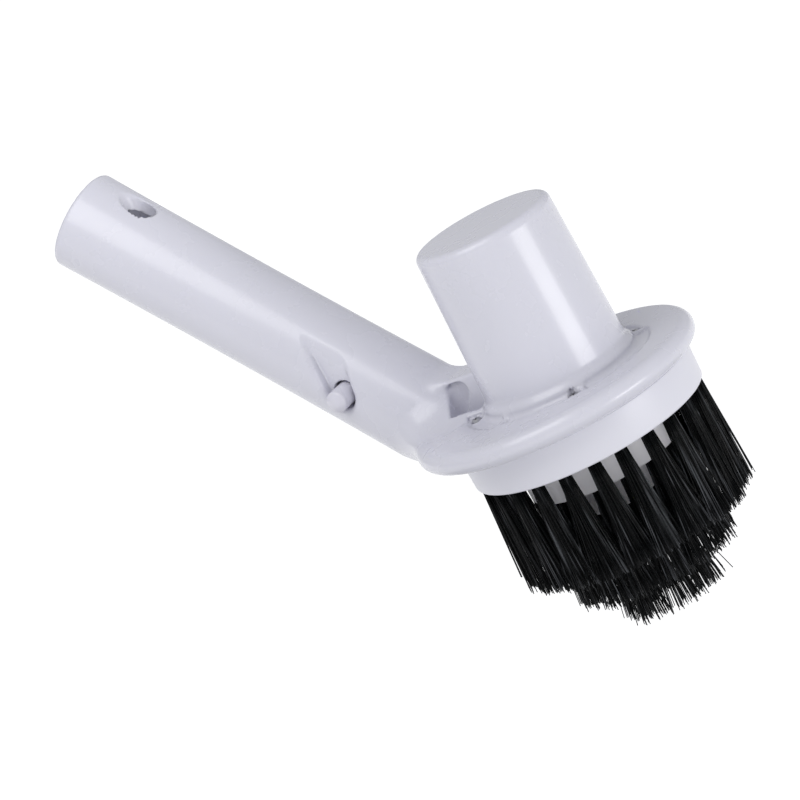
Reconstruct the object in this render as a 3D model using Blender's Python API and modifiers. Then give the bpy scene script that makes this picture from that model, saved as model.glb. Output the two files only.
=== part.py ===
"""Pool wall brush: a round stepped bristle head with a hand knob and an angled tubular pole handle.

Metres, +Z up. The origin is the centre of the handle's open end, where a pole goes on. Two frames
carry the pieces. head_frame sits on the brush axis in the plane of the skirt's lower edge, with +Z
up the knob. handle_frame sits at the open end, with +Z out of the tube and +X towards its top.
Every hollow of the upper body draws along Z, the way its mould opens.
"""

import math

import bmesh
import bpy
from mathutils import Euler, Matrix, Vector

GAP = 0.0003
OVERSHOOT = 0.0010
SEGMENTS = 48
HALF_SEGMENT = math.pi / SEGMENTS

# Handle: a tube with a slight waist, which slides into a pole of 28.6 mm bore.
HANDLE_ANGLE = math.radians(48.0)
HANDLE_REACH = 0.1803
CROSSING_DROP = 0.0311
HANDLE_END_RADIUS = 0.0140
HANDLE_WAIST_RADIUS = 0.0137
HANDLE_ROOT_RADIUS = 0.0142
HANDLE_WAIST_DEPTH = 0.060
HANDLE_ROOT_DEPTH = 0.130
END_ROUNDING = 0.0011
BORE_MOUTH_RADIUS = 0.0104
BORE_FLOOR_RADIUS = 0.0082
BORE_DEPTH = 0.1035
END_HOLE_RADIUS = 0.0037
END_HOLE_DEPTH = 0.0148
END_HOLE_SPAN = (-0.0170, 0.0120)

# Spring clip: a bent strip inside the bore whose two legs each push a button out of the handle.
BUTTON_DEPTH = 0.0931
BUTTON_RADIUS = 0.0031
BUTTON_TIP = 0.0172
BUTTON_TRAVEL = 0.0039
BUTTON_DOME = 0.0016
BUTTON_HOLE_RADIUS = 0.00375
BUTTON_HOLE_SPAN = (0.0030, 0.0170)
NOTCH_FLOOR = 0.0106
NOTCH_RADIUS = 0.0039
NOTCH_HEIGHT = 0.0400
LEG_LENGTH = 0.050
LEG_OVERRUN = 0.0035
LEG_AT_BUTTON = 0.0071
STRIP_WIDTH = 0.0050
STRIP_THICKNESS = 0.0008
STRIP_BEVEL = 0.00015

# Flange and knob, moulded in one with the handle.
FLANGE_OFFSET = -0.0036
FLANGE_RADIUS = 0.0409
FLANGE_BOTTOM = 0.0104
FLANGE_TOP = 0.0168
ELBOW_BOTTOM = 0.0086
KNOB_TOP = 0.0633
KNOB_TOP_RADIUS = 0.0195
KNOB_FOOT_RADIUS = 0.0205
KNOB_FOOT_HEIGHT = 0.0220
COLLAR_RADIUS = 0.0216
COLLAR_HEIGHT = 0.0184
COLLAR_HOLLOW = 0.0002
KNOB_ROUNDING = 0.0016
CAVITY_TOP = 0.0608
CAVITY_TOP_RADIUS = 0.0168
CAVITY_MOUTH_RADIUS = 0.0186

# Pockets round the knob, between radial ribs: name, first angle, last angle, outer radius, floor.
MOAT_FLOOR = 0.0150
ROOT_POCKET_FLOOR = 0.0134
POCKETS = (
    ("front", -45.0, 45.0, 0.0262, MOAT_FLOOR),
    ("left_side", -105.0, -45.0, 0.0253, MOAT_FLOOR),
    ("right_side", 45.0, 105.0, 0.0253, MOAT_FLOOR),
    ("left_rear", -156.0, -105.0, 0.0272, MOAT_FLOOR),
    ("right_rear", 105.0, 156.0, 0.0272, MOAT_FLOOR),
    ("root", 156.0, 204.0, 0.0318, ROOT_POCKET_FLOOR),
)
RIB_HALF_WIDTH = 0.0010
POCKET_STEP = 5.0

# Thick web that ties the knob to the root of the handle, with a slant-sided window in each face.
WEB_HALF_WIDTH = 0.0052
WEB_TOP = 0.0262
WEB_TOP_AT_HANDLE = 0.0278
WEB_LOW_POINT = 0.0290
WEB_START = 0.0190
WEB_REACH = 0.0355
WINDOW_TOP = 0.0252
WINDOW_HALF_WALL = 0.0032
WINDOW_EDGE_TOP = 0.0237
WINDOW_EDGE_BOTTOM = 0.0303

# Small screws on the moat floor, into the brush block: angle and distance from the axis. The front
# pair each have a groove in the collar beside them.
FRONT_SCREW, REAR_SCREW = (52.0, 0.02355), (148.0, 0.02510)
SCREW_HEAD_RADIUS = 0.00155
SCREW_HEAD_HEIGHT = 0.0013
SCREW_SHANK_RADIUS = 0.0009
SCREW_LENGTH = 0.0110
SCREW_POINT = 0.0010
SCREW_SLOT_HALF_WIDTH = 0.00018
SCREW_SLOT_DEPTH = 0.0007
GROOVE_RADIUS = 0.00075
GROOVE_CIRCLE = 0.0219
GROOVE_TOP = 0.0176

# Brush block: three steps, each holding one ring of tufts.
SKIRT_RADIUS = 0.0336
SKIRT_TOP_RADIUS = 0.0338
BLOCK_TOP = FLANGE_BOTTOM - GAP
STEP_RADIUS = (0.0220, 0.0108)
STEP_HEIGHT = 0.0101
SPIGOT_RADIUS = CAVITY_MOUTH_RADIUS - 0.0006
SPIGOT_TOP = 0.0140
SPIGOT_BORE = 0.0150
CORE_RADIUS = 0.0135
CORE_FLOOR = -0.0060

# Tufts: name, count, ring radius, step, length, flare radius at the tips, inward lean, first angle.
TUFT_ROOT_RADIUS = 0.00165
TUFT_ROOT_DEPTH = 0.0060
TUFT_SEGMENTS = 10
TUFT_RINGS = (
    ("outer", 24, 0.0310, 0, 0.0312, 0.0033, 3.0, 0.0),
    ("middle", 15, 0.0195, 1, 0.0320, 0.0033, -1.5, 3.0),
    ("inner", 6, 0.0083, 2, 0.0333, 0.0036, -3.0, 20.0),
)

WHITE = (0.80, 0.79, 0.86, 1.0)
BLOCK_WHITE = (0.82, 0.81, 0.87, 1.0)
BRISTLE_BLACK = (0.011, 0.012, 0.014, 1.0)
STEEL = (0.62, 0.62, 0.63, 1.0)


# ---------------------------------------------------------------- helpers


def clear_scene():
    for obj in list(bpy.data.objects):
        bpy.data.objects.remove(obj, do_unlink=True)


def make_collection(name):
    collection = bpy.data.collections.new(name)
    bpy.context.scene.collection.children.link(collection)
    return collection


def make_material(name, color, roughness, metallic=0.0):
    material = bpy.data.materials.new(name)
    material.use_nodes = True
    shader = material.node_tree.nodes["Principled BSDF"]
    shader.inputs["Base Color"].default_value = color
    shader.inputs["Roughness"].default_value = roughness
    shader.inputs["Metallic"].default_value = metallic
    material.diffuse_color = color
    return material


def make_frame(name, location, rotation=(0.0, 0.0, 0.0)):
    frame = bpy.data.objects.new(name, None)
    frame.location = location
    frame.rotation_euler = rotation
    parts.objects.link(frame)
    return frame


def add_object(name, mesh, frame, material=None):
    """A part when it has a material, or else a cutter."""
    obj = bpy.data.objects.new(name, mesh)
    obj.parent = frame
    if material:
        mesh.materials.append(material)
        parts.objects.link(obj)
    else:
        cutters.objects.link(obj)
        obj.hide_render = True
        obj.display_type = "WIRE"
    return obj


def turned(name, profile, frame, material=None, segments=SEGMENTS):
    """A profile of (radius, z) points, outer side from top to bottom, turned about the frame's Z."""
    mesh = bpy.data.meshes.new(name)
    points = [(radius, 0.0, z) for radius, z in profile]
    mesh.from_pydata(points, [(i, i + 1) for i in range(len(points) - 1)], [])
    obj = add_object(name, mesh, frame, material)
    screw = obj.modifiers.new("turn", "SCREW")
    screw.steps = segments
    screw.render_steps = segments
    screw.use_merge_vertices = True
    screw.merge_threshold = 0.00001
    return obj


def cylinder(name, radius, bottom, top, frame, segments=24):
    mesh = bpy.data.meshes.new(name)
    shape = bmesh.new()
    lift = Matrix.Translation((0.0, 0.0, (bottom + top) / 2))
    bmesh.ops.create_cone(
        shape,
        cap_ends=True,
        segments=segments,
        radius1=radius,
        radius2=radius,
        depth=top - bottom,
        matrix=lift,
    )
    shape.to_mesh(mesh)
    shape.free()
    return add_object(name, mesh, frame)


def box(name, low, high, frame, material=None):
    mesh = bpy.data.meshes.new(name)
    shape = bmesh.new()
    size = [b - a for a, b in zip(low, high)]
    middle = [(a + b) / 2 for a, b in zip(low, high)]
    place = Matrix.Translation(middle) @ Matrix.Diagonal((*size, 1.0))
    bmesh.ops.create_cube(shape, size=1.0, matrix=place)
    shape.to_mesh(mesh)
    shape.free()
    return add_object(name, mesh, frame, material)


def prism(name, outline, bottom, top, frame, material=None):
    """A flat outline of (x, y) points, anticlockwise, extruded between two heights."""
    mesh = bpy.data.meshes.new(name)
    shape = bmesh.new()
    lower = [shape.verts.new((x, y, bottom)) for x, y in outline]
    upper = [shape.verts.new((x, y, top)) for x, y in outline]
    shape.faces.new(list(reversed(lower)))
    shape.faces.new(upper)
    for i in range(len(outline)):
        shape.faces.new((lower[i - 1], lower[i], upper[i], upper[i - 1]))
    shape.to_mesh(mesh)
    shape.free()
    return add_object(name, mesh, frame, material)


def combine(target, tool, operation="DIFFERENCE"):
    boolean = target.modifiers.new(tool.name, "BOOLEAN")
    boolean.operation = operation
    boolean.solver = "EXACT"
    boolean.object = tool
    return target


def rounding(center, radius, start, end, steps=4):
    """Points on an arc, with its centre at (radius, z) and its angles in degrees from +X."""
    angles = [math.radians(start + (end - start) * i / steps) for i in range(steps + 1)]
    return [(center[0] + radius * math.cos(a), center[1] + radius * math.sin(a)) for a in angles]


# ---------------------------------------------------------------- handle and knob moulding


def handle_tube():
    """The outside of the handle, long enough to run into the flange."""
    corner = (HANDLE_END_RADIUS - END_ROUNDING, -END_ROUNDING)
    profile = [(0.0, 0.0)]
    profile += rounding(corner, END_ROUNDING, 90.0, 0.0)
    profile += [
        (HANDLE_WAIST_RADIUS, -HANDLE_WAIST_DEPTH),
        (HANDLE_ROOT_RADIUS, -HANDLE_ROOT_DEPTH),
        (HANDLE_ROOT_RADIUS, -HANDLE_REACH),
        (0.0, -HANDLE_REACH),
    ]
    tube = turned("handle_outside", profile, handle_frame)
    wide = 1.5 * FLANGE_RADIUS
    low, high = (-HANDLE_REACH, -wide, -wide), (wide, wide, ELBOW_BOTTOM)
    below = box("below_elbow", low, high, head_frame)
    combine(tube, below)
    skirt_room = cylinder("skirt_room", SKIRT_TOP_RADIUS + GAP, 0.0, FLANGE_BOTTOM, head_frame, SEGMENTS)
    return combine(tube, skirt_room)


def flange_profile():
    """A disc whose whole edge is one half round."""
    edge = (FLANGE_TOP - FLANGE_BOTTOM) / 2
    middle = (FLANGE_RADIUS - edge, (FLANGE_TOP + FLANGE_BOTTOM) / 2)
    return [(0.0, FLANGE_TOP), *rounding(middle, edge, 90.0, -90.0, 8), (0.0, FLANGE_BOTTOM)]


def knob_outside():
    """Closed cone with a rounded top edge and a collar at its foot."""
    corner = (KNOB_TOP_RADIUS - KNOB_ROUNDING, KNOB_TOP - KNOB_ROUNDING)
    profile = [(0.0, KNOB_TOP)]
    profile += rounding(corner, KNOB_ROUNDING, 90.0, 0.0)
    profile += [
        (KNOB_FOOT_RADIUS, KNOB_FOOT_HEIGHT),
        ((KNOB_FOOT_RADIUS + COLLAR_RADIUS) / 2 - COLLAR_HOLLOW, (KNOB_FOOT_HEIGHT + COLLAR_HEIGHT) / 2),
        (COLLAR_RADIUS, COLLAR_HEIGHT),
        (COLLAR_RADIUS, FLANGE_BOTTOM + OVERSHOOT),
        (0.0, FLANGE_BOTTOM + OVERSHOOT),
    ]
    return turned("knob_outside", profile, head_frame)


def knob_cavity():
    profile = [
        (0.0, CAVITY_TOP),
        (CAVITY_TOP_RADIUS, CAVITY_TOP),
        (CAVITY_MOUTH_RADIUS, FLANGE_BOTTOM - OVERSHOOT),
        (0.0, FLANGE_BOTTOM - OVERSHOOT),
    ]
    return turned("knob_cavity", profile, head_frame)


def pocket(name, start, end, outer, floor):
    """A recess between two ribs, from the collar outwards."""
    count = round((end - start) / POCKET_STEP)
    angles = [math.radians(start + (end - start) * i / count) for i in range(count + 1)]

    def clear_of_rib(angle, radius):
        lean = math.asin(RIB_HALF_WIDTH / radius)
        angle = min(max(angle, angles[0] + lean), angles[-1] - lean)
        return (radius * math.cos(angle), radius * math.sin(angle))

    outline = [clear_of_rib(a, outer) for a in angles]
    outline += [clear_of_rib(a, COLLAR_RADIUS) for a in reversed(angles)]
    return prism(f"pocket_{name}", outline, floor, KNOB_TOP, head_frame)


def web_plate():
    foot = ROOT_POCKET_FLOOR - OVERSHOOT
    outline = [
        (-WEB_REACH, foot),
        (-WEB_START, foot),
        (-WEB_START, WEB_TOP),
        (-WEB_LOW_POINT, WEB_TOP),
        (-WEB_REACH, WEB_TOP_AT_HANDLE),
    ]
    opening = [
        (-WEB_REACH - OVERSHOOT, foot),
        (-WINDOW_EDGE_BOTTOM, foot),
        (-WINDOW_EDGE_TOP, WINDOW_TOP),
        (-WEB_REACH - OVERSHOOT, WINDOW_TOP),
    ]
    web = prism("root_web", outline, -WEB_HALF_WIDTH, WEB_HALF_WIDTH, head_frame)
    web.rotation_euler.x = math.radians(90.0)
    near, far = WINDOW_HALF_WALL, WEB_HALF_WIDTH + OVERSHOOT
    for side, low, high in (("left", near, far), ("right", -far, -near)):
        window = prism(f"web_window_{side}", opening, low, high, head_frame)
        window.rotation_euler.x = math.radians(90.0)
        combine(web, window)
    return web


def bore():
    profile = [
        (0.0, OVERSHOOT),
        (BORE_MOUTH_RADIUS, OVERSHOOT),
        (BORE_FLOOR_RADIUS, -BORE_DEPTH),
        (0.0, -BORE_DEPTH),
    ]
    tool = turned("handle_bore", profile, handle_frame)
    tool.rotation_euler.z = HALF_SEGMENT
    return tool


def button_notch(side, sign):
    """A flat-floored recess with a round bottom, open upwards so that it draws along Z."""
    outline = [(NOTCH_RADIUS, NOTCH_HEIGHT), (-NOTCH_RADIUS, NOTCH_HEIGHT)]
    outline += rounding((0.0, 0.0), NOTCH_RADIUS, 180.0, 360.0, 12)
    floor, outside = -sign * NOTCH_FLOOR, -sign * (HANDLE_ROOT_RADIUS + 4 * OVERSHOOT)
    notch = prism(f"notch_{side}", outline, min(floor, outside), max(floor, outside), None)
    notch.location = BUTTON_PLACE
    notch.rotation_euler = (math.radians(90.0), 0.0, 0.0)
    return notch


def around_knob(angle, distance):
    turn = math.radians(angle)
    return Vector((distance * math.cos(turn), distance * math.sin(turn), 0.0))


def screw_places():
    for angle, distance in (FRONT_SCREW, REAR_SCREW):
        for turned_to in (angle, -angle):
            yield turned_to, around_knob(turned_to, distance)


def drill_screw_holes(target, bottom, top):
    for number, (angle, place) in enumerate(screw_places(), 1):
        name = f"screw_hole_{number}_{target.name}"
        hole = cylinder(name, SCREW_SHANK_RADIUS + GAP, bottom, top, head_frame, 12)
        hole.location = place
        combine(target, hole)


def cut_collar_grooves(body):
    for side, angle in (("right", FRONT_SCREW[0]), ("left", -FRONT_SCREW[0])):
        groove = cylinder(f"groove_{side}", GROOVE_RADIUS, MOAT_FLOOR, GROOVE_TOP, head_frame, 12)
        groove.location = around_knob(angle, GROOVE_CIRCLE)
        combine(body, groove)


def make_upper_body():
    profile = flange_profile()
    body = turned("upper_body", profile, head_frame, white_plastic)
    body.location.x = FLANGE_OFFSET
    combine(body, handle_tube(), "UNION")
    combine(body, knob_outside(), "UNION")

    for place in POCKETS:
        combine(body, pocket(*place))
    combine(body, web_plate(), "UNION")
    combine(body, knob_cavity())

    combine(body, bore())
    for side, sign in (("left", -1.0), ("right", 1.0)):
        combine(body, button_notch(side, sign))
        hole = cylinder(f"button_hole_{side}", BUTTON_HOLE_RADIUS, *BUTTON_HOLE_SPAN, None)
        hole.location = BUTTON_PLACE
        hole.rotation_euler = (-sign * math.radians(90.0), 0.0, 0.0)
        combine(body, hole)
    end_hole = cylinder("end_hole", END_HOLE_RADIUS, *END_HOLE_SPAN, None)
    end_hole.location = END_HOLE_PLACE
    combine(body, end_hole)

    cut_collar_grooves(body)
    drill_screw_holes(body, FLANGE_BOTTOM - OVERSHOOT, MOAT_FLOOR + OVERSHOOT)


# ---------------------------------------------------------------- brush block and tufts


def tuft_matrix(ring, index):
    """Where a tuft's root meets its step, leaning in towards the brush axis below it."""
    _, count, radius, step, _, _, lean, first = ring
    turn = math.radians(first + 360.0 * index / count)
    place = Vector((radius * math.cos(turn), radius * math.sin(turn), -step * STEP_HEIGHT))
    tilt = Matrix.Rotation(math.radians(lean), 4, "Y")
    return Matrix.Translation(place) @ Matrix.Rotation(turn, 4, "Z") @ tilt


def tuft_holes():
    """All the blind tuft holes, as one cutter of separate cylinders."""
    mesh = bpy.data.meshes.new("tuft_holes")
    shape = bmesh.new()
    radius = TUFT_ROOT_RADIUS + GAP
    depth = TUFT_ROOT_DEPTH + 2 * GAP
    lift = Matrix.Translation((0.0, 0.0, (depth - OVERSHOOT) / 2))
    for ring in TUFT_RINGS:
        for index in range(ring[1]):
            bmesh.ops.create_cone(
                shape,
                cap_ends=True,
                segments=TUFT_SEGMENTS,
                radius1=radius,
                radius2=radius,
                depth=depth + OVERSHOOT,
                matrix=tuft_matrix(ring, index) @ lift,
            )
    shape.to_mesh(mesh)
    shape.free()
    return add_object("tuft_holes", mesh, head_frame)


def make_brush_block():
    first, second = STEP_RADIUS
    profile = [
        (0.0, CORE_FLOOR),
        (CORE_RADIUS, CORE_FLOOR),
        (SPIGOT_BORE, SPIGOT_TOP),
        (SPIGOT_RADIUS, SPIGOT_TOP),
        (SPIGOT_RADIUS, BLOCK_TOP),
        (SKIRT_TOP_RADIUS, BLOCK_TOP),
        (SKIRT_RADIUS, 0.0006),
        (SKIRT_RADIUS - 0.0006, 0.0),
        (first, 0.0),
        (first, -STEP_HEIGHT),
        (second, -STEP_HEIGHT),
        (second, -2 * STEP_HEIGHT),
        (0.0, -2 * STEP_HEIGHT),
    ]
    block = turned("brush_block", profile, head_frame, block_plastic)
    combine(block, tuft_holes())
    drill_screw_holes(block, MOAT_FLOOR - SCREW_LENGTH, BLOCK_TOP + OVERSHOOT)


def make_tufts():
    for ring in TUFT_RINGS:
        name, count, _, _, length, flare, _, _ = ring
        profile = [
            (0.0, TUFT_ROOT_DEPTH),
            (TUFT_ROOT_RADIUS, TUFT_ROOT_DEPTH),
            (TUFT_ROOT_RADIUS, 0.0),
            (flare, -length),
            (0.0, -length),
        ]
        pattern = None
        for index in range(count):
            title = f"tuft_{name}_{index + 1:02d}"
            if pattern is None:
                tuft = turned(title, profile, head_frame, bristle_nylon, TUFT_SEGMENTS)
                pattern = tuft
            else:
                tuft = pattern.copy()
                tuft.name = title
                parts.objects.link(tuft)
            place = tuft_matrix(ring, index)
            tuft.location = place.to_translation()
            tuft.rotation_euler = place.to_euler()


def make_screws():
    """Cross-slotted pan-head screws, from the moat floor into the block."""
    under = MOAT_FLOOR + GAP
    top = under + SCREW_HEAD_HEIGHT
    tip = under - SCREW_LENGTH
    profile = [
        (0.0, top),
        (0.6 * SCREW_HEAD_RADIUS, top),
        (0.92 * SCREW_HEAD_RADIUS, top - 0.25 * SCREW_HEAD_HEIGHT),
        (SCREW_HEAD_RADIUS, top - 0.6 * SCREW_HEAD_HEIGHT),
        (SCREW_HEAD_RADIUS, under),
        (SCREW_SHANK_RADIUS, under),
        (SCREW_SHANK_RADIUS, tip + SCREW_POINT),
        (0.0, tip),
    ]
    reach = 0.65 * SCREW_HEAD_RADIUS
    low = (-reach, -SCREW_SLOT_HALF_WIDTH, top - SCREW_SLOT_DEPTH)
    high = (reach, SCREW_SLOT_HALF_WIDTH, top + OVERSHOOT)
    for number, (angle, place) in enumerate(screw_places(), 1):
        screw = turned(f"screw_{number}", profile, head_frame, screw_steel, 16)
        screw.location = place
        for half, turn in (("a", 0.0), ("b", 90.0)):
            slot = box(f"screw_slot_{number}{half}", low, high, head_frame)
            slot.location = place
            slot.rotation_euler.z = math.radians(angle + turn)
            combine(screw, slot)


# ---------------------------------------------------------------- spring clip


def make_clip_bend():
    """The half round at the top of the clip, bent from strip."""
    inner, outer = BEND_RADIUS - STRIP_THICKNESS / 2, BEND_RADIUS + STRIP_THICKNESS / 2
    outline = rounding((0.0, 0.0), outer, 0.0, 180.0, 16)
    outline += rounding((0.0, 0.0), inner, 180.0, 0.0, 16)
    bend = prism("clip_bend", outline, -STRIP_WIDTH / 2, STRIP_WIDTH / 2, handle_frame, clip_steel)
    bend.location = (0.0, 0.0, -HINGE_DEPTH)
    bend.rotation_euler = (math.radians(90.0), 0.0, math.radians(90.0))


def make_clip_leg(side, sign):
    """One leg with its button. Their parent empty sits on the leg's hinge line, at the bend."""
    splay = math.atan2(LEG_AT_BUTTON - BEND_RADIUS, LEG_LENGTH)
    hinge = make_frame(f"clip_hinge_{side}", (0.0, sign * BEND_RADIUS, -HINGE_DEPTH))
    hinge.parent = handle_frame

    half_width, half_thickness = STRIP_WIDTH / 2, STRIP_THICKNESS / 2
    low = (-half_width, -half_thickness, -LEG_LENGTH - LEG_OVERRUN)
    high = (half_width, half_thickness, -GAP)
    leg = box(f"clip_leg_{side}", low, high, hinge, clip_steel)
    leg.rotation_euler = (sign * splay, 0.0, 0.0)
    bevel = leg.modifiers.new("soft_edges", "BEVEL")
    bevel.width = STRIP_BEVEL
    bevel.segments = 1

    base = LEG_AT_BUTTON + half_thickness + GAP - BEND_RADIUS
    tip = BUTTON_TIP - BEND_RADIUS
    profile = [
        (0.0, tip),
        (0.45 * BUTTON_RADIUS, tip - 0.08 * BUTTON_DOME),
        (0.75 * BUTTON_RADIUS, tip - 0.32 * BUTTON_DOME),
        (0.93 * BUTTON_RADIUS, tip - 0.64 * BUTTON_DOME),
        (BUTTON_RADIUS, tip - BUTTON_DOME),
        (BUTTON_RADIUS, base + 0.0004),
        (0.8 * BUTTON_RADIUS, base),
        (0.0, base),
    ]
    button = turned(f"button_{side}", profile, hinge, button_plastic, 24)
    button.location = (0.0, 0.0, -LEG_LENGTH)
    button.rotation_euler = (-sign * math.radians(90.0), 0.0, 0.0)


# ---------------------------------------------------------------- assembly

clear_scene()
parts = make_collection("pool_wall_brush")
cutters = make_collection("cutters")

white_plastic = make_material("white_plastic", WHITE, 0.32)
block_plastic = make_material("block_plastic", BLOCK_WHITE, 0.38)
bristle_nylon = make_material("bristle_nylon", BRISTLE_BLACK, 0.45)
button_plastic = make_material("button_plastic", WHITE, 0.30)
clip_steel = make_material("clip_steel", STEEL, 0.28, 1.0)
screw_steel = make_material("screw_steel", STEEL, 0.33, 1.0)

BEND_RADIUS = LEG_AT_BUTTON - BUTTON_TRAVEL / 2
HINGE_DEPTH = BUTTON_DEPTH - LEG_LENGTH
HANDLE_DOWN = Vector((math.cos(HANDLE_ANGLE), 0.0, -math.sin(HANDLE_ANGLE)))
HANDLE_TOP = Vector((math.sin(HANDLE_ANGLE), 0.0, math.cos(HANDLE_ANGLE)))
BUTTON_PLACE = HANDLE_DOWN * BUTTON_DEPTH
END_HOLE_PLACE = HANDLE_DOWN * END_HOLE_DEPTH + HANDLE_TOP * HANDLE_END_RADIUS
HEAD_PLACE = HANDLE_DOWN * HANDLE_REACH + Vector((0.0, 0.0, CROSSING_DROP))

head_frame = make_frame("head_frame", HEAD_PLACE)
handle_frame = make_frame("handle_frame", (0.0, 0.0, 0.0), Euler((0.0, HANDLE_ANGLE - math.pi / 2, 0.0)))

make_upper_body()
make_brush_block()
make_tufts()
make_screws()
make_clip_bend()
make_clip_leg("left", -1.0)
make_clip_leg("right", 1.0)
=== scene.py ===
"""Pool wall brush: looks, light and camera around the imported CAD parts.

The white body is a smooth distance field meshed here, and every tuft is a bundle of separate
filaments. Body, block and tufts are worked out in millimetres from the head's own origin, on the
brush axis at the skirt's lower edge, and placed in the shared frame at the end.
"""

import math
import random

import bmesh
import bpy
import numpy as np
from mathutils import Matrix, Vector


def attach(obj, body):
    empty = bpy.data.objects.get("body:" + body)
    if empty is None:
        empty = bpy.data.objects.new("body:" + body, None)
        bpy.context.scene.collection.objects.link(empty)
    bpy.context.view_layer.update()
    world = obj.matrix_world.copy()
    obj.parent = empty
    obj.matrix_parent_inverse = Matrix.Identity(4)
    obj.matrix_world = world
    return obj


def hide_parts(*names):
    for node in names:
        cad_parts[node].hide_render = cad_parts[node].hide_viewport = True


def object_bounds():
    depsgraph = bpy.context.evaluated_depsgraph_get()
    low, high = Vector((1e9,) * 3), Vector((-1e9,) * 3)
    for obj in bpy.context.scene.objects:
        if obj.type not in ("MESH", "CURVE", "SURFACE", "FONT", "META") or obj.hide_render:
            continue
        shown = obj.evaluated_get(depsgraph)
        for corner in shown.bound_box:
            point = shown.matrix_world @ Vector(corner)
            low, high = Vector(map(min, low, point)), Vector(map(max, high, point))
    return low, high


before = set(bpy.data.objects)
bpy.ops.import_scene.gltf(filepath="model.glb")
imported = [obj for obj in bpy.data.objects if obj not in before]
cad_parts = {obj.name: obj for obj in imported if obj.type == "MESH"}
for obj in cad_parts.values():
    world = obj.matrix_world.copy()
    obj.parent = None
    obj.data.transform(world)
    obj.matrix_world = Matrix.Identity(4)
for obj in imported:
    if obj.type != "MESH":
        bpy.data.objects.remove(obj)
cad_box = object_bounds()

MM = 0.001

# The handle's axis: its tilt to the flange, the length from its open end to the brush axis, and
# how far below the skirt's lower edge the two axes cross.
TILT = math.radians(48.0)
REACH = 180.3
CROSSING = 31.1
HEAD = Vector((REACH * math.cos(TILT), 0.0, CROSSING - REACH * math.sin(TILT))) * MM


# ---------------------------------------------------------------- materials

# Moulded plastic: the scale of its flow marks and how dark they are, the scale and spread of its
# uneven gloss, and how light goes into it.
FLOW_SCALE = 26.0
FLOW_SHADE = 0.972
GLOSS_SCALE = 90.0
GLOSS_SPREAD = 0.03
SCATTER_WEIGHT = 0.10
SCATTER_DEPTH = (0.0020, 0.0020, 0.0024)
COAT_ROUGHNESS = 0.12
PLASTIC_IOR = 1.49

# Nylon: black, and the grey of glints painted on a few filaments, the streaks of noise that choose
# between them, where in the noise one turns into the other, and its gloss.
NYLON_BLACK = (0.001, 0.0015, 0.002)
NYLON_PAINTED_GLINT = (0.10, 0.105, 0.115)
STREAK_SCALE, STREAK_STRETCH = 700.0, (1.0, 1.0, 0.04)
GLINT_START, GLINT_END = 0.56, 0.72
NYLON_GLOSS_SCALE = 500.0
NYLON_SMOOTH, NYLON_ROUGH = 0.22, 0.36
NYLON_SPECULAR = 0.13

# Steel: the drawn lines along the strip, how deep they are, and how they vary its roughness.
LINE_SCALE, LINE_STRETCH = 1400.0, (1.0, 1.0, 0.05)
LINE_STRENGTH, LINE_DEPTH = 0.05, 0.0001
STEEL_SMOOTHER, STEEL_ROUGHER = 0.08, 0.12


def new_material(name, base, roughness, metallic=0.0):
    """A node material, its tree and its shader."""
    material = bpy.data.materials.new(name)
    material.use_nodes = True
    tree = material.node_tree
    shader = tree.nodes["Principled BSDF"]
    shader.inputs["Base Color"].default_value = (*base, 1.0)
    shader.inputs["Roughness"].default_value = roughness
    shader.inputs["Metallic"].default_value = metallic
    return material, tree, shader


def noise(tree, scale, detail, roughness=0.5, stretch=None):
    coords = tree.nodes.new("ShaderNodeTexCoord")
    texture = tree.nodes.new("ShaderNodeTexNoise")
    texture.inputs["Scale"].default_value = scale
    texture.inputs["Detail"].default_value = detail
    texture.inputs["Roughness"].default_value = roughness
    source = coords.outputs["Object"]
    if stretch:
        mapping = tree.nodes.new("ShaderNodeMapping")
        mapping.inputs["Scale"].default_value = stretch
        tree.links.new(source, mapping.inputs["Vector"])
        source = mapping.outputs["Vector"]
    tree.links.new(source, texture.inputs["Vector"])
    return texture.outputs["Fac"]


def ramp(tree, value, low, high, start=0.3, end=0.7):
    """Fades from one colour to another as the value goes from start to end."""
    node = tree.nodes.new("ShaderNodeValToRGB")
    node.color_ramp.elements[0].position = start
    node.color_ramp.elements[0].color = (*low, 1.0)
    node.color_ramp.elements[1].position = end
    node.color_ramp.elements[1].color = (*high, 1.0)
    tree.links.new(value, node.inputs["Fac"])
    return node.outputs["Color"]


def grey(value):
    return (value, value, value)


def bump(tree, shader, value, strength, distance):
    node = tree.nodes.new("ShaderNodeBump")
    node.inputs["Strength"].default_value = strength
    node.inputs["Distance"].default_value = distance
    tree.links.new(value, node.inputs["Height"])
    tree.links.new(node.outputs["Normal"], shader.inputs["Normal"])


def moulded_plastic(name, base, roughness, coat=0.0):
    """White moulded plastic: faint flow marks in its colour and uneven gloss."""
    material, tree, shader = new_material(name, base, roughness)
    shade = tuple(c * FLOW_SHADE for c in base)
    color = ramp(tree, noise(tree, FLOW_SCALE, 3.0), shade, base)
    tree.links.new(color, shader.inputs["Base Color"])
    cloud = noise(tree, GLOSS_SCALE, 4.0)
    gloss = ramp(tree, cloud, grey(roughness - GLOSS_SPREAD), grey(roughness + GLOSS_SPREAD))
    tree.links.new(gloss, shader.inputs["Roughness"])
    shader.inputs["Subsurface Weight"].default_value = SCATTER_WEIGHT
    shader.inputs["Subsurface Radius"].default_value = SCATTER_DEPTH
    shader.inputs["Subsurface Scale"].default_value = 1.0
    shader.inputs["Coat Weight"].default_value = coat
    shader.inputs["Coat Roughness"].default_value = COAT_ROUGHNESS
    shader.inputs["IOR"].default_value = PLASTIC_IOR
    return material


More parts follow.
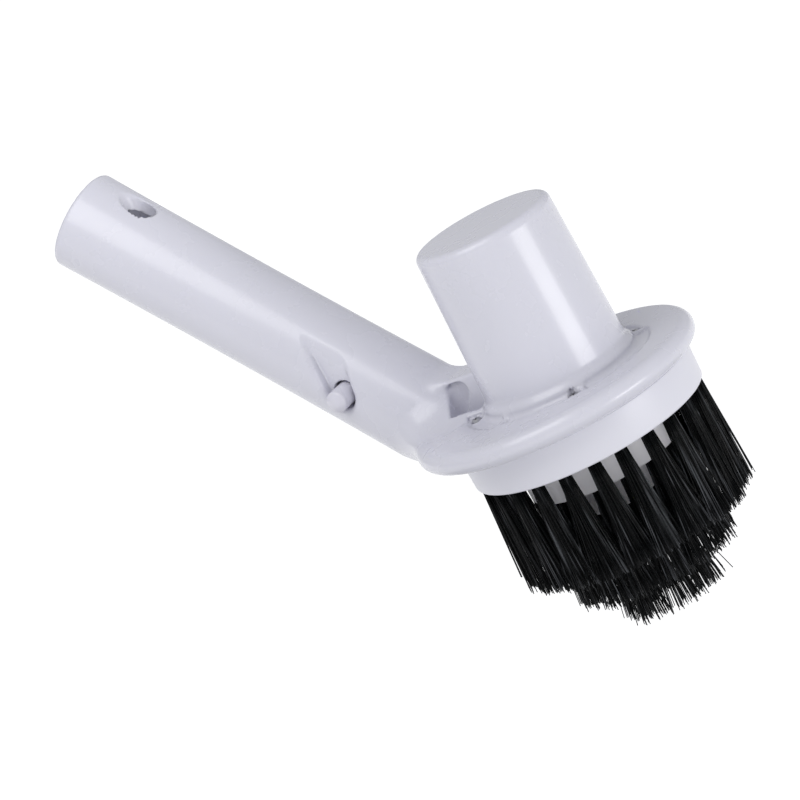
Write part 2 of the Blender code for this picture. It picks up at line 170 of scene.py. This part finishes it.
def bristle_material():
    """Black extruded nylon; a few filaments in each tuft are painted greyer as highlight glints.
    """
    material, tree, shader = new_material("bristle_black", (0.003, 0.004, 0.005), 0.3)
    streak = noise(tree, STREAK_SCALE, 1.0, 0.5, STREAK_STRETCH)
    # Painted highlight: grey glint streaks in the colour of a few filaments.
    color = ramp(tree, streak, NYLON_BLACK, NYLON_PAINTED_GLINT, GLINT_START, GLINT_END)
    tree.links.new(color, shader.inputs["Base Color"])
    cloud = noise(tree, NYLON_GLOSS_SCALE, 2.0)
    gloss = ramp(tree, cloud, grey(NYLON_SMOOTH), grey(NYLON_ROUGH))
    tree.links.new(gloss, shader.inputs["Roughness"])
    shader.inputs["Specular IOR Level"].default_value = NYLON_SPECULAR
    return material


def metal_material(name, base, roughness):
    """Bright steel with fine drawn lines."""
    material, tree, shader = new_material(name, base, roughness, 1.0)
    lines = noise(tree, LINE_SCALE, 2.0, 0.6, LINE_STRETCH)
    gloss = ramp(tree, lines, grey(roughness - STEEL_SMOOTHER), grey(roughness + STEEL_ROUGHER))
    tree.links.new(gloss, shader.inputs["Roughness"])
    bump(tree, shader, lines, LINE_STRENGTH, LINE_DEPTH)
    return material


white = moulded_plastic("white_moulding", (0.662, 0.660, 0.735), 0.27, coat=0.25)
block_white = moulded_plastic("block_moulding", (0.735, 0.733, 0.805), 0.34)
# A lighter copy of the block's plastic for the steps: painted light on their walls.
step_painted_lighter = moulded_plastic("step_moulding_painted_lighter", (0.93, 0.92, 0.96), 0.34)
button_white = moulded_plastic("button_moulding", (0.68, 0.67, 0.75), 0.28, coat=0.2)
nylon = bristle_material()
strip_steel = metal_material("strip_steel", (0.60, 0.60, 0.61), 0.30)
screw_steel = metal_material("screw_steel", (0.50, 0.50, 0.52), 0.34)


# ---------------------------------------------------------------- distance field of the body

# Measures in mm. A "fillet" rounds an inside corner and an "edge" an outside one. Pairs ending in
# _X and _Z are where a feature starts and ends.

# Handle: its radius where it is thinnest, where that is (from the crossing of the axes), and how
# it swells with the square of the distance from there. The elbow's underside is cut flat.
TUBE_RADIUS = 13.67
TUBE_WAIST = 120.0
TUBE_SWELL = 0.00011
TUBE_EDGE = 1.2
ELBOW_FLOOR = 8.6
ELBOW_EDGE = 3.0

# Flange: a flat disc with a half-round rim, off the brush axis, and room under it for the block.
FLANGE_OFFSET = 3.6
FLANGE_FLAT_RADIUS = 37.7
FLANGE_HEIGHT = 13.64
FLANGE_ROUND = 3.2
FLANGE_FILLET = 8.0
BLOCK_ROOM_RADIUS = 34.1
BLOCK_ROOM_TOP = 10.44
BLOCK_ROOM_EDGE = 0.3

# Web from knob to handle, and the window sunk into each of its faces. The window's slanted side
# passes through a point (x, z), and x changes by the slope for each unit of z. The scale turns its
# offset into a distance.
WEB_X = (-36.0, -18.0)
WEB_Z = (13.0, 26.3)
WEB_HALF = 5.2
WEB_EDGE = 0.8
WEB_FILLET = 3.0
WINDOW_SLANT = (-25.2, 22.5)
WINDOW_SLOPE = 0.57
WINDOW_SLOPE_SCALE = 0.87
WINDOW_TOP = 25.3
WINDOW_FLOOR = 3.2
WINDOW_CORNER = 4.0
WINDOW_FLOOR_FILLET = 0.8
WINDOW_EDGE = 0.4

# Knob, which tapers upwards, and the collar round its foot.
KNOB_RADIUS = 19.5
KNOB_RADIUS_HEIGHT = 63.3
KNOB_TAPER = 0.0228
KNOB_TOP = 62.9
KNOB_EDGE = 2.0
COLLAR_RADIUS = 21.8
COLLAR_TOP = 18.4
COLLAR_EDGE = 0.7
COLLAR_FILLET = 2.6
STEM_FOOT = 11.0
STEM_FILLET = 2.0

# Moat round the collar, in sectors with a radial rib between them: the angles from +X that a
# sector starts and ends at, and its outer radius. The last pocket runs on to the handle's root.
SECTORS = ((0.0, 45.0, 26.2), (45.0, 105.0, 25.3), (105.0, 156.0, 27.2))
RIB_HALF = 0.9
MOAT_FLOOR = 16.1
MOAT_FLOOR_FILLET = 0.6
MOAT_EDGE = 0.6
ROOT_POCKET_START = 156.0
ROOT_POCKET_FRONT = -10.0
ROOT_POCKET_RADIUS = 31.8
ROOT_POCKET_FLOOR = 13.4
ROOT_POCKET_FLOOR_FILLET = 1.0
ROOT_POCKET_EDGE = 0.7

# Holes for the screws through the moat's floor: (x, side) of one of each pair.
SCREWS = ((14.5, 18.56), (-21.29, 13.3))
SCREW_HOLE_RADIUS = 1.7
SCREW_HOLE_TOP = 17.0
SCREW_HOLE_EDGE = 0.2

# Bore up the handle, which narrows with depth.
BORE_RADIUS = 10.4
BORE_TAPER = 0.0213
BORE_DEPTH = 103.5
BORE_EDGE = 0.5

# Button hole, cut outwards from a distance from the mirror plane, and the notch over it, which
# opens upwards.
BUTTON_HOLE_RADIUS = 3.75
BUTTON_HOLE_START = 3.0
BUTTON_HOLE_EDGE = 0.3
NOTCH_RADIUS = 3.9
NOTCH_FLOOR = 10.6
NOTCH_FLOOR_FILLET = 0.4
NOTCH_EDGE = 1.6

# Round hole on top, near the open end: how far below its middle it is cut.
END_HOLE_RADIUS = 3.7
END_HOLE_DEPTH = 12.0
END_HOLE_EDGE = 0.5

# A fine upright groove in the collar beside each front screw, at (x, side).
GROOVE = (13.5, 17.3)
GROOVE_RADIUS = 0.75
GROOVE_Z = (14.5, 17.6)
GROOVE_EDGE = 0.15


def along_handle(depth, lift=0.0):
    """Head coordinates (x, z) of a point on the handle's mirror plane, depth from its open end."""
    station = REACH - depth
    x = -math.cos(TILT) * station + math.sin(TILT) * lift
    return x, math.sin(TILT) * station + math.cos(TILT) * lift - CROSSING


BUTTON = along_handle(93.1)
END_HOLE = along_handle(14.8, 14.0)


def soft_union(a, b, r):
    """Either solid, with a fillet of radius r between them."""
    u, v = np.maximum(r - a, 0.0), np.maximum(r - b, 0.0)
    return np.maximum(r, np.minimum(a, b)) - np.sqrt(u * u + v * v)


def soft_both(a, b, r):
    """What both solids share, with its edges rounded to radius r."""
    u, v = np.maximum(r + a, 0.0), np.maximum(r + b, 0.0)
    return np.minimum(-r, np.maximum(a, b)) + np.sqrt(u * u + v * v)


def soft_cut(a, b, r):
    """The first solid without the second, with its edges rounded to radius r."""
    return soft_both(a, -b, r)


def slab(value, span):
    """Distance outside a span."""
    return np.maximum(span[0] - value, value - span[1])


def past_angle(x, side, degrees):
    """Distance past a plane through the brush axis, at an angle from +X."""
    angle = math.radians(degrees)
    return side * math.cos(angle) - x * math.sin(angle)


def shell_distance(x, y, z, rho, along, around):
    """Handle and flange, with the room for the block."""
    tube = around - (TUBE_RADIUS + TUBE_SWELL * (along - TUBE_WAIST) ** 2)
    tube = soft_both(tube, along - REACH, TUBE_EDGE)
    tube = soft_both(tube, ELBOW_FLOOR - z, ELBOW_EDGE)
    ring = np.sqrt((x + FLANGE_OFFSET) ** 2 + y * y)
    beyond = np.maximum(ring - FLANGE_FLAT_RADIUS, 0.0)
    flange = np.sqrt(beyond**2 + (z - FLANGE_HEIGHT) ** 2) - FLANGE_ROUND
    solid = soft_union(tube, flange, FLANGE_FILLET)
    room = np.maximum(rho - BLOCK_ROOM_RADIUS, z - BLOCK_ROOM_TOP)
    return soft_cut(solid, room, BLOCK_ROOM_EDGE)


def web_distance(x, z, side):
    """The upright web between knob and handle, with a window in each face."""
    web = np.maximum(slab(z, WEB_Z), slab(x, WEB_X))
    web = soft_both(web, side - WEB_HALF, WEB_EDGE)
    slant = WINDOW_SLOPE_SCALE * (x - WINDOW_SLANT[0] - WINDOW_SLOPE * (z - WINDOW_SLANT[1]))
    window = soft_both(slant, z - WINDOW_TOP, WINDOW_CORNER)
    window = soft_both(window, WINDOW_FLOOR - side, WINDOW_FLOOR_FILLET)
    return soft_cut(web, window, WINDOW_EDGE)


def stem_distance(z, rho):
    """Knob and collar."""
    collar = soft_both(rho - COLLAR_RADIUS, z - COLLAR_TOP, COLLAR_EDGE)
    knob = rho - (KNOB_RADIUS + (KNOB_RADIUS_HEIGHT - z) * KNOB_TAPER)
    knob = soft_both(knob, z - KNOB_TOP, KNOB_EDGE)
    return np.maximum(soft_union(knob, collar, COLLAR_FILLET), STEM_FOOT - z)


def cut_moat(solid, x, z, side, rho):
    """The ring of pockets round the knob, and the deeper one that runs up to the handle's root."""
    for start, end, outer in SECTORS:
        pocket = soft_both(rho - outer, MOAT_FLOOR - z, MOAT_FLOOR_FILLET)
        if start > 0.0:
            pocket = np.maximum(pocket, RIB_HALF - past_angle(x, side, start))
        pocket = np.maximum(pocket, RIB_HALF + past_angle(x, side, end))
        solid = soft_cut(solid, pocket, MOAT_EDGE)
    pocket = soft_both(rho - ROOT_POCKET_RADIUS, ROOT_POCKET_FLOOR - z, ROOT_POCKET_FLOOR_FILLET)
    pocket = np.maximum(pocket, RIB_HALF - past_angle(x, side, ROOT_POCKET_START))
    pocket = np.maximum(pocket, x - ROOT_POCKET_FRONT)
    return soft_cut(solid, pocket, ROOT_POCKET_EDGE)


def cut_handle(solid, x, y, z, side, along, around):
    """Bore, button hole and notch, and the hole near the open end."""
    bore = around - (BORE_RADIUS - BORE_TAPER * (REACH - along))
    bore = np.maximum(bore, REACH - BORE_DEPTH - along)
    solid = soft_cut(solid, bore, BORE_EDGE)

    px, pz = x - BUTTON[0], z - BUTTON[1]
    notch = np.sqrt(px * px + np.minimum(pz, 0.0) ** 2) - NOTCH_RADIUS
    notch = soft_both(notch, NOTCH_FLOOR - side, NOTCH_FLOOR_FILLET)
    solid = soft_cut(solid, notch, NOTCH_EDGE)
    hole = np.sqrt(px * px + pz * pz) - BUTTON_HOLE_RADIUS
    hole = np.maximum(hole, BUTTON_HOLE_START - side)
    solid = soft_cut(solid, hole, BUTTON_HOLE_EDGE)

    ex, ez = x - END_HOLE[0], z - END_HOLE[1]
    hole = np.maximum(np.sqrt(ex * ex + y * y) - END_HOLE_RADIUS, -END_HOLE_DEPTH - ez)
    return soft_cut(solid, hole, END_HOLE_EDGE)


def body_distance(x, y, z):
    """Signed distance, in mm, to the handle, knob and flange moulding."""
    side = np.abs(y)
    rho = np.sqrt(x * x + y * y)
    along = -math.cos(TILT) * x + math.sin(TILT) * (z + CROSSING)
    rise = math.sin(TILT) * x + math.cos(TILT) * (z + CROSSING)
    around = np.sqrt(rise * rise + y * y)

    solid = shell_distance(x, y, z, rho, along, around)
    solid = cut_moat(solid, x, z, side, rho)
    solid = soft_union(solid, web_distance(x, z, side), WEB_FILLET)
    solid = soft_union(solid, stem_distance(z, rho), STEM_FILLET)
    for sx, sy in SCREWS:
        screw = np.sqrt((x - sx) ** 2 + (side - sy) ** 2) - SCREW_HOLE_RADIUS
        solid = soft_cut(solid, np.maximum(screw, z - SCREW_HOLE_TOP), SCREW_HOLE_EDGE)
    solid = cut_handle(solid, x, y, z, side, along, around)
    groove = np.sqrt((x - GROOVE[0]) ** 2 + (side - GROOVE[1]) ** 2) - GROOVE_RADIUS
    return soft_cut(solid, np.maximum(groove, slab(z, GROOVE_Z)), GROOVE_EDGE)


# ---------------------------------------------------------------- mesh of the body

# Then the step over which normals are taken, and the least slope of the field that points are
# moved by.
BODY_LOW, BODY_HIGH = (-136.0, -42.5, 8.6), (39.5, 42.5, 114.0)
CELL = 0.78
NORMAL_STEP = 0.12
LEAST_SLOPE = 0.3


def gradient(points, step=0.05):
    """Unit direction and steepness of the field at each point."""
    x, y, z = points.T
    g = np.stack(
        [
            body_distance(x + step, y, z) - body_distance(x - step, y, z),
            body_distance(x, y + step, z) - body_distance(x, y - step, z),
            body_distance(x, y, z + step) - body_distance(x, y, z - step),
        ],
        1,
    )
    length = np.linalg.norm(g, axis=1, keepdims=True)
    return g / np.maximum(length, 1e-9), length / (2 * step)


def surface_net(low, high, cell):
    """Quads of the zero level of the body's field, with a vertex in each cell that it crosses."""
    axes = [np.arange(a, b + cell, cell) for a, b in zip(low, high)]
    x, y, z = (axes[0][:, None, None], axes[1][None, :, None], axes[2][None, None, :])
    shape = tuple(len(a) for a in axes)
    field = np.broadcast_to(body_distance(x, y, z), shape).astype(np.float32)
    inside = field < 0.0
    offsets = [(i, j, k) for i in (0, 1) for j in (0, 1) for k in (0, 1)]
    corners = [
        inside[i : shape[0] - 1 + i, j : shape[1] - 1 + j, k : shape[2] - 1 + k]
        for i, j, k in offsets
    ]
    count = sum(c.astype(np.int8) for c in corners)
    active = (count > 0) & (count < len(offsets))
    index = np.full(active.shape, -1, np.int64)
    cells = np.argwhere(active)
    index[active] = np.arange(len(cells))

    total = np.zeros((len(cells), 3))
    hits = np.zeros(len(cells))
    ci, cj, ck = cells.T
    for a in offsets:
        for axis in range(3):
            if a[axis]:
                continue
            b = list(a)
            b[axis] = 1
            fa = field[ci + a[0], cj + a[1], ck + a[2]]
            fb = field[ci + b[0], cj + b[1], ck + b[2]]
            crossed = (fa < 0.0) != (fb < 0.0)
            t = np.where(crossed, fa / np.where(crossed, fa - fb, 1.0), 0.0)
            point = np.array(a, float)[None, :].repeat(len(cells), 0)
            point[:, axis] = t
            total += point * crossed[:, None]
            hits += crossed
    points = (cells + total / hits[:, None]) * cell + np.array(low)

    quads = []
    for axis in range(3):
        u, v = (axis + 1) % 3, (axis + 2) % 3
        first = [slice(1, -1)] * 3
        first[axis] = slice(0, shape[axis] - 1)
        second = list(first)
        second[axis] = slice(1, shape[axis])
        a, b = inside[tuple(first)], inside[tuple(second)]
        for flip in (False, True):
            where = np.argwhere((~a & b) if flip else (a & ~b))
            where[:, u] += 1
            where[:, v] += 1
            ring = []
            for du, dv in ((0, 0), (1, 0), (1, 1), (0, 1)):
                cell_at = where.copy()
                cell_at[:, u] -= du
                cell_at[:, v] -= dv
                ring.append(index[tuple(cell_at.T)])
            quad = np.stack(ring, 1)
            quads.append(quad[:, ::-1] if flip else quad)
    return points, np.concatenate(quads)


def settle(points, rounds, most):
    """Moves points onto the zero level, by no more than a given step in each round."""
    for _ in range(rounds):
        direction, slope = gradient(points)
        value = body_distance(*points.T)[:, None]
        step = np.clip(value / np.maximum(slope, LEAST_SLOPE), -most, most)
        points = points - direction * step
    return points


def make_body():
    """The smooth body. Its normals come from the field, and not from its quads."""
    points, quads = surface_net(BODY_LOW, BODY_HIGH, CELL)
    points = settle(points, 4, 0.5)
    mesh = bpy.data.meshes.new("body_moulding")
    mesh.from_pydata(points.tolist(), [], quads.tolist())
    mesh.validate()
    shape = bmesh.new()
    shape.from_mesh(mesh)
    bmesh.ops.recalc_face_normals(shape, faces=shape.faces)
    shape.to_mesh(mesh)
    shape.free()
    points = np.empty(len(mesh.vertices) * 3, np.float64)
    mesh.vertices.foreach_get("co", points)
    points = settle(points.reshape(-1, 3), 3, 0.3)
    normals, _ = gradient(points, NORMAL_STEP)
    mesh.vertices.foreach_set("co", (points * MM).ravel())
    mesh.shade_smooth()
    mesh.normals_split_custom_set_from_vertices([tuple(n) for n in normals])
    mesh.materials.append(white)
    body = bpy.data.objects.new("body_moulding", mesh)
    bpy.context.scene.collection.objects.link(body)
    body.location = HEAD
    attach(body, "brush")
    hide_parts("upper_body")


# ---------------------------------------------------------------- turned pieces

SHARP_ANGLE = math.radians(40.0)
BLOCK_SEGMENTS = 160
BUTTON_SEGMENTS = 48

# Levels in mm. The block's are heights, and a button's are distances from the mirror plane. Faces
# below STEPS_TOP are the steps', and take the copy of the block's plastic that is painted lighter.
BLOCK_TOP, BLOCK_FOOT = 10.0, -20.2
STEPS_TOP = -0.1
BUTTON_TIP, BUTTON_FOOT = 17.2, 7.85


def lathe(name, profile, material, segments):
    """A closed profile of (radius, z) in mm, from the top of its axis to the bottom, turned."""
    shape = bmesh.new()
    rings = []
    for radius, z in profile:
        if radius < 1e-6:
            rings.append([shape.verts.new((0.0, 0.0, z * MM))])
            continue
        ring = []
        for i in range(segments):
            turn = 2 * math.pi * i / segments
            x, y = radius * MM * math.cos(turn), radius * MM * math.sin(turn)
            ring.append(shape.verts.new((x, y, z * MM)))
        rings.append(ring)
    for a, b in zip(rings, rings[1:]):
        for i in range(segments):
            j = (i + 1) % segments
            if len(a) == 1:
                shape.faces.new((a[0], b[i], b[j]))
            elif len(b) == 1:
                shape.faces.new((a[i], b[0], a[j]))
            else:
                shape.faces.new((a[i], b[i], b[j], a[j]))
    bmesh.ops.recalc_face_normals(shape, faces=shape.faces)
    mesh = bpy.data.meshes.new(name)
    shape.to_mesh(mesh)
    shape.free()
    mesh.shade_smooth()
    mesh.set_sharp_from_angle(angle=SHARP_ANGLE)
    mesh.materials.append(material)
    obj = bpy.data.objects.new(name, mesh)
    bpy.context.scene.collection.objects.link(obj)
    return obj


def arc(center, radius, start, end, steps=5):
    """Points of (radius, z) on a corner, between two angles in degrees."""
    angles = [math.radians(start + (end - start) * i / steps) for i in range(steps + 1)]
    return [(center[0] + radius * math.cos(a), center[1] + radius * math.sin(a)) for a in angles]


def make_block():
    """The skirt and the two steps below it, with small moulded radii. The steps get a copy of the
    block's plastic painted lighter, standing in for light on their walls.
    """
    profile = [(0.0, BLOCK_TOP), (32.9, BLOCK_TOP)]
    profile += arc((33.3, 9.7), 0.5, 60.0, 0.0, 3)  # edge under the flange
    profile += [(33.75, 6.0)]
    profile += arc((32.9, 0.7), 0.7, 0.0, -90.0)  # skirt's lower edge
    profile += arc((22.5, -0.5), 0.5, 90.0, 180.0, 3)  # fillet above the first step
    profile += arc((21.3, -9.5), 0.6, 0.0, -90.0)  # first step's edge
    profile += arc((11.3, -10.6), 0.5, 90.0, 180.0, 3)  # fillet above the second step
    profile += arc((10.2, -19.6), 0.6, 0.0, -90.0)  # second step's edge
    profile += [(0.0, BLOCK_FOOT)]
    block = lathe("stepped_block", profile, block_white, BLOCK_SEGMENTS)
    block.data.materials.append(step_painted_lighter)
    # Faces of the steps take the copy painted lighter.
    for face in block.data.polygons:
        face.material_index = int(face.center.z < STEPS_TOP * MM)
    block.location = HEAD
    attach(block, "brush")
    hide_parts("brush_block")


def make_button(side, sign):
    """Domed button, on its leg's body."""
    place = Vector((BUTTON[0], 0.0, BUTTON[1])) * MM + HEAD
    profile = [(0.0, BUTTON_TIP), (1.0, 17.14), (1.9, 16.88), (2.5, 16.5)]  # dome
    profile += arc((2.45, 15.85), 0.65, 45.0, 0.0, 4)  # its edge
    profile += [(3.1, 8.3), (2.4, BUTTON_FOOT), (0.0, BUTTON_FOOT)]
    button = lathe(f"button_cap_{side}", profile, button_white, BUTTON_SEGMENTS)
    button.matrix_world = Matrix.Translation(place) @ Matrix.Rotation(-sign * math.pi / 2, 4, "X")
    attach(button, f"clip_{side}")
    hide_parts(f"button_{side}")


# ---------------------------------------------------------------- bristles

# Name, count, ring radius, root level, length, longest, first angle, outward lean, and the fan's
# angle round the ring and across it. Lengths in mm, angles in degrees.
TUFT_RINGS = (
    ("outer", 24, 31.0, 0.0, 30.7, 31.2, 0.0, 0.2, 3.7, 1.8),
    ("middle", 15, 19.5, -10.1, 31.4, 32.0, 3.0, 1.6, 5.0, 4.0),
    ("inner", 6, 8.3, -20.2, 32.3, 33.3, 20.0, 3.2, 6.0, 5.0),
)
TURN_SCATTER, LEAN_SCATTER, LENGTH_SCATTER = 0.4, 0.7, 0.4

# One filament: a three-sided tube that starts inside the hole, thins towards its tip and is turned
# by where it sits in the tuft.
FILAMENTS = 88
FILAMENT_RADIUS = 0.20
FILAMENT_TAPER = 0.25
THIRD_TURN = 2.0944
FILAMENT_TURN = 7.0
ROOT_RADIUS = 1.72
ROOT_DEPTH = 1.5
JOINTS = 6

# How filaments differ: the least and the extra share of the fan, the scatter of their direction
# across and round the ring, the share that stray and by how much, their curl, which grows towards
# the tuft's sides, and what their length varies by.
FAN_LEAST, FAN_EXTRA = 0.45, 0.75
SCATTER_ACROSS, SCATTER_ROUND = 0.012, 0.011
STRAYS, STRAY_ACROSS, STRAY_ROUND = 0.04, 0.03, 0.07
CURL, CURL_OUTWARD = 0.2, 1.4
TIP_SCATTER, TIP_WEAR = 0.45, 0.8
GOLDEN_ANGLE = math.pi * (3.0 - math.sqrt(5.0))
DISC_SCATTER = 0.05


def disc_points(count, rng):
    """Evenly filled disc, radius 1, with a little scatter."""
    points = []
    for i in range(count):
        r, turn = math.sqrt((i + 0.5) / count), i * GOLDEN_ANGLE
        u = r * math.cos(turn) + rng.uniform(-DISC_SCATTER, DISC_SCATTER)
        v = r * math.sin(turn) + rng.uniform(-DISC_SCATTER, DISC_SCATTER)
        points.append((u, v))
    return points


def make_tuft(name, place, turn, length, most, lean, fans, rng):
    """A bundle of thin triangular filaments that fan out from one hole."""
    verts, faces = [], []
    for u, v in disc_points(FILAMENTS, rng):
        root = Vector((u * ROOT_RADIUS, v * ROOT_RADIUS, 0.0))
        fan = FAN_LEAST + FAN_EXTRA * rng.random()
        round_ring, across = (math.radians(angle) * fan for angle in fans)
        out = Vector((math.sin(lean) + u * across, v * round_ring, -1.0))
        out.x += rng.gauss(0.0, SCATTER_ACROSS)
        out.y += rng.gauss(0.0, SCATTER_ROUND)
        if rng.random() < STRAYS:
            out.x += rng.gauss(0.0, STRAY_ACROSS)
            out.y += rng.gauss(0.0, STRAY_ROUND)
        curl = Vector((rng.gauss(0.0, CURL), rng.gauss(0.0, CURL) + CURL_OUTWARD * v, 0.0))
        reach = min(length + rng.gauss(0.0, TIP_SCATTER) - TIP_WEAR * rng.random(), most)
        base = len(verts)
        for j in range(JOINTS):
            t = j / (JOINTS - 1)
            center = root + out * (t * reach - (1.0 - t) * ROOT_DEPTH) + curl * (t * t)
            size = FILAMENT_RADIUS * (1.0 - FILAMENT_TAPER * t)
            for k in range(3):
                a = THIRD_TURN * k + u * FILAMENT_TURN
                verts.append(center + Vector((size * math.cos(a), size * math.sin(a), 0.0)))
        for j in range(JOINTS - 1):
            for k in range(3):
                a = base + 3 * j + k
                b = base + 3 * j + (k + 1) % 3
                faces.append((a, b, b + 3, a + 3))
        faces.append((base + 2, base + 1, base))
        end = base + 3 * (JOINTS - 1)
        faces.append((end, end + 1, end + 2))
    spin = Matrix.Rotation(turn, 4, "Z")
    mesh = bpy.data.meshes.new(name)
    mesh.from_pydata([(place + spin @ v) * MM for v in verts], [], faces)
    mesh.shade_smooth()
    mesh.materials.append(nylon)
    tuft = bpy.data.objects.new(name, mesh)
    bpy.context.scene.collection.objects.link(tuft)
    tuft.location = HEAD
    return tuft


def make_tufts():
    for title, count, radius, z, length, most, first, lean, *fans in TUFT_RINGS:
        for index in range(count):
            rng = random.Random(f"{title} {index}")
            turn = math.radians(first + 360.0 * index / count + rng.gauss(0.0, TURN_SCATTER))
            place = Vector((radius * math.cos(turn), radius * math.sin(turn), z))
            tilt = math.radians(lean + rng.gauss(0.0, LEAN_SCATTER))
            name = f"{title}_{index + 1:02d}"
            reach = length + rng.gauss(0.0, LENGTH_SCATTER)
            tuft = make_tuft(f"filaments_{name}", place, turn, reach, most, tilt, fans, rng)
            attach(tuft, "brush")
            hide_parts(f"tuft_{name}")


# ---------------------------------------------------------------- stage, light and camera

# Metres. Beyond a distance from its middle the floor glows faintly, so that the corners of a view
# stay white.
FLOOR_HALF = 40.0
FLOOR_DROP = 0.55
GLOW_START, GLOW_END = 1.03, 1.25
GLOW_STRENGTH = 0.62

# What the key and side lights point at, from the head's origin.
HANDLE_END = HEAD + Vector((-0.13, 0.0, 0.11))
BRUSH_MIDDLE = HEAD + Vector((-0.03, 0.0, 0.03))

# The camera's place in mm from the head's origin, and the directions of its three axes.
CAMERA_PLACE = (548.668, -747.957, 247.712)
CAMERA_RIGHT = (0.75347, 0.46591, -0.46391)
CAMERA_DOWN = (-0.24651, -0.45393, -0.85626)
CAMERA_FORWARD = (-0.60952, 0.75953, -0.22717)


def make_floor():
    size, drop = FLOOR_HALF, cad_box[0][2] - FLOOR_DROP
    mesh = bpy.data.meshes.new("floor")
    corners = [(-size, -size, drop), (size, -size, drop), (size, size, drop), (-size, size, drop)]
    mesh.from_pydata(corners, [], [(0, 1, 2, 3)])
    material, tree, shader = new_material("floor_white", (0.82, 0.82, 0.82), 0.9)
    shader.inputs["Emission Color"].default_value = (1.0, 1.0, 1.0, 1.0)
    coords = tree.nodes.new("ShaderNodeTexCoord")
    length = tree.nodes.new("ShaderNodeVectorMath")
    length.operation = "LENGTH"
    tree.links.new(coords.outputs["Object"], length.inputs[0])
    glow = tree.nodes.new("ShaderNodeMapRange")
    glow.interpolation_type = "SMOOTHSTEP"
    glow.inputs["From Min"].default_value = GLOW_START
    glow.inputs["From Max"].default_value = GLOW_END
    glow.inputs["To Min"].default_value = 0.0
    glow.inputs["To Max"].default_value = GLOW_STRENGTH
    tree.links.new(length.outputs["Value"], glow.inputs["Value"])
    tree.links.new(glow.outputs["Result"], shader.inputs["Emission Strength"])
    mesh.materials.append(material)
    floor = bpy.data.objects.new("floor", mesh)
    bpy.context.scene.collection.objects.link(floor)


def area_light(name, target, direction, distance, size, power):
    """A softbox at a distance in metres from its target, facing it."""
    light = bpy.data.lights.new(name, "AREA")
    light.shape = "RECTANGLE"
    light.size, light.size_y = size
    light.energy = power
    obj = bpy.data.objects.new(name, light)
    aim = Vector(direction).normalized()
    obj.location = target + aim * distance
    obj.rotation_euler = aim.to_track_quat("Z", "Y").to_euler()
    bpy.context.scene.collection.objects.link(obj)


def make_light():
    world = bpy.data.worlds.new("studio")
    world.use_nodes = True
    background = world.node_tree.nodes["Background"]
    background.inputs["Color"].default_value = (0.97, 0.98, 1.0, 1.0)
    background.inputs["Strength"].default_value = 0.55
    bpy.context.scene.world = world
    key = (0.30, -0.62, 0.72)
    side = (0.978, -0.10, -0.18)
    area_light("key", HANDLE_END, key, distance=0.36, size=(0.28, 0.28), power=0.65)
    area_light("side", BRUSH_MIDDLE, side, distance=0.7, size=(0.34, 0.16), power=1.0)


def make_camera():
    """Slightly rolled, from above the brush's near right."""
    camera = bpy.data.cameras.new("camera")
    camera.sensor_width = 36.0
    camera.lens = 162.9
    camera.clip_start, camera.clip_end = 0.05, 100.0
    obj = bpy.data.objects.new("camera", camera)
    axes = Matrix((CAMERA_RIGHT, -Vector(CAMERA_DOWN), -Vector(CAMERA_FORWARD))).transposed()
    place = Vector(CAMERA_PLACE) * MM + HEAD
    obj.matrix_world = Matrix.Translation(place) @ axes.to_4x4()
    bpy.context.scene.collection.objects.link(obj)
    bpy.context.scene.camera = obj


def clothe(node, material):
    node.data.materials.clear()
    node.data.materials.append(material)


bpy.context.scene.view_settings.view_transform = "Standard"
for name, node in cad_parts.items():
    if name.startswith("screw"):
        clothe(node, screw_steel)
    elif name.startswith("clip"):
        clothe(node, strip_steel)
    else:
        clothe(node, white)

make_body()
make_block()
make_button("left", -1.0)
make_button("right", 1.0)
make_tufts()
make_floor()
make_light()
make_camera()
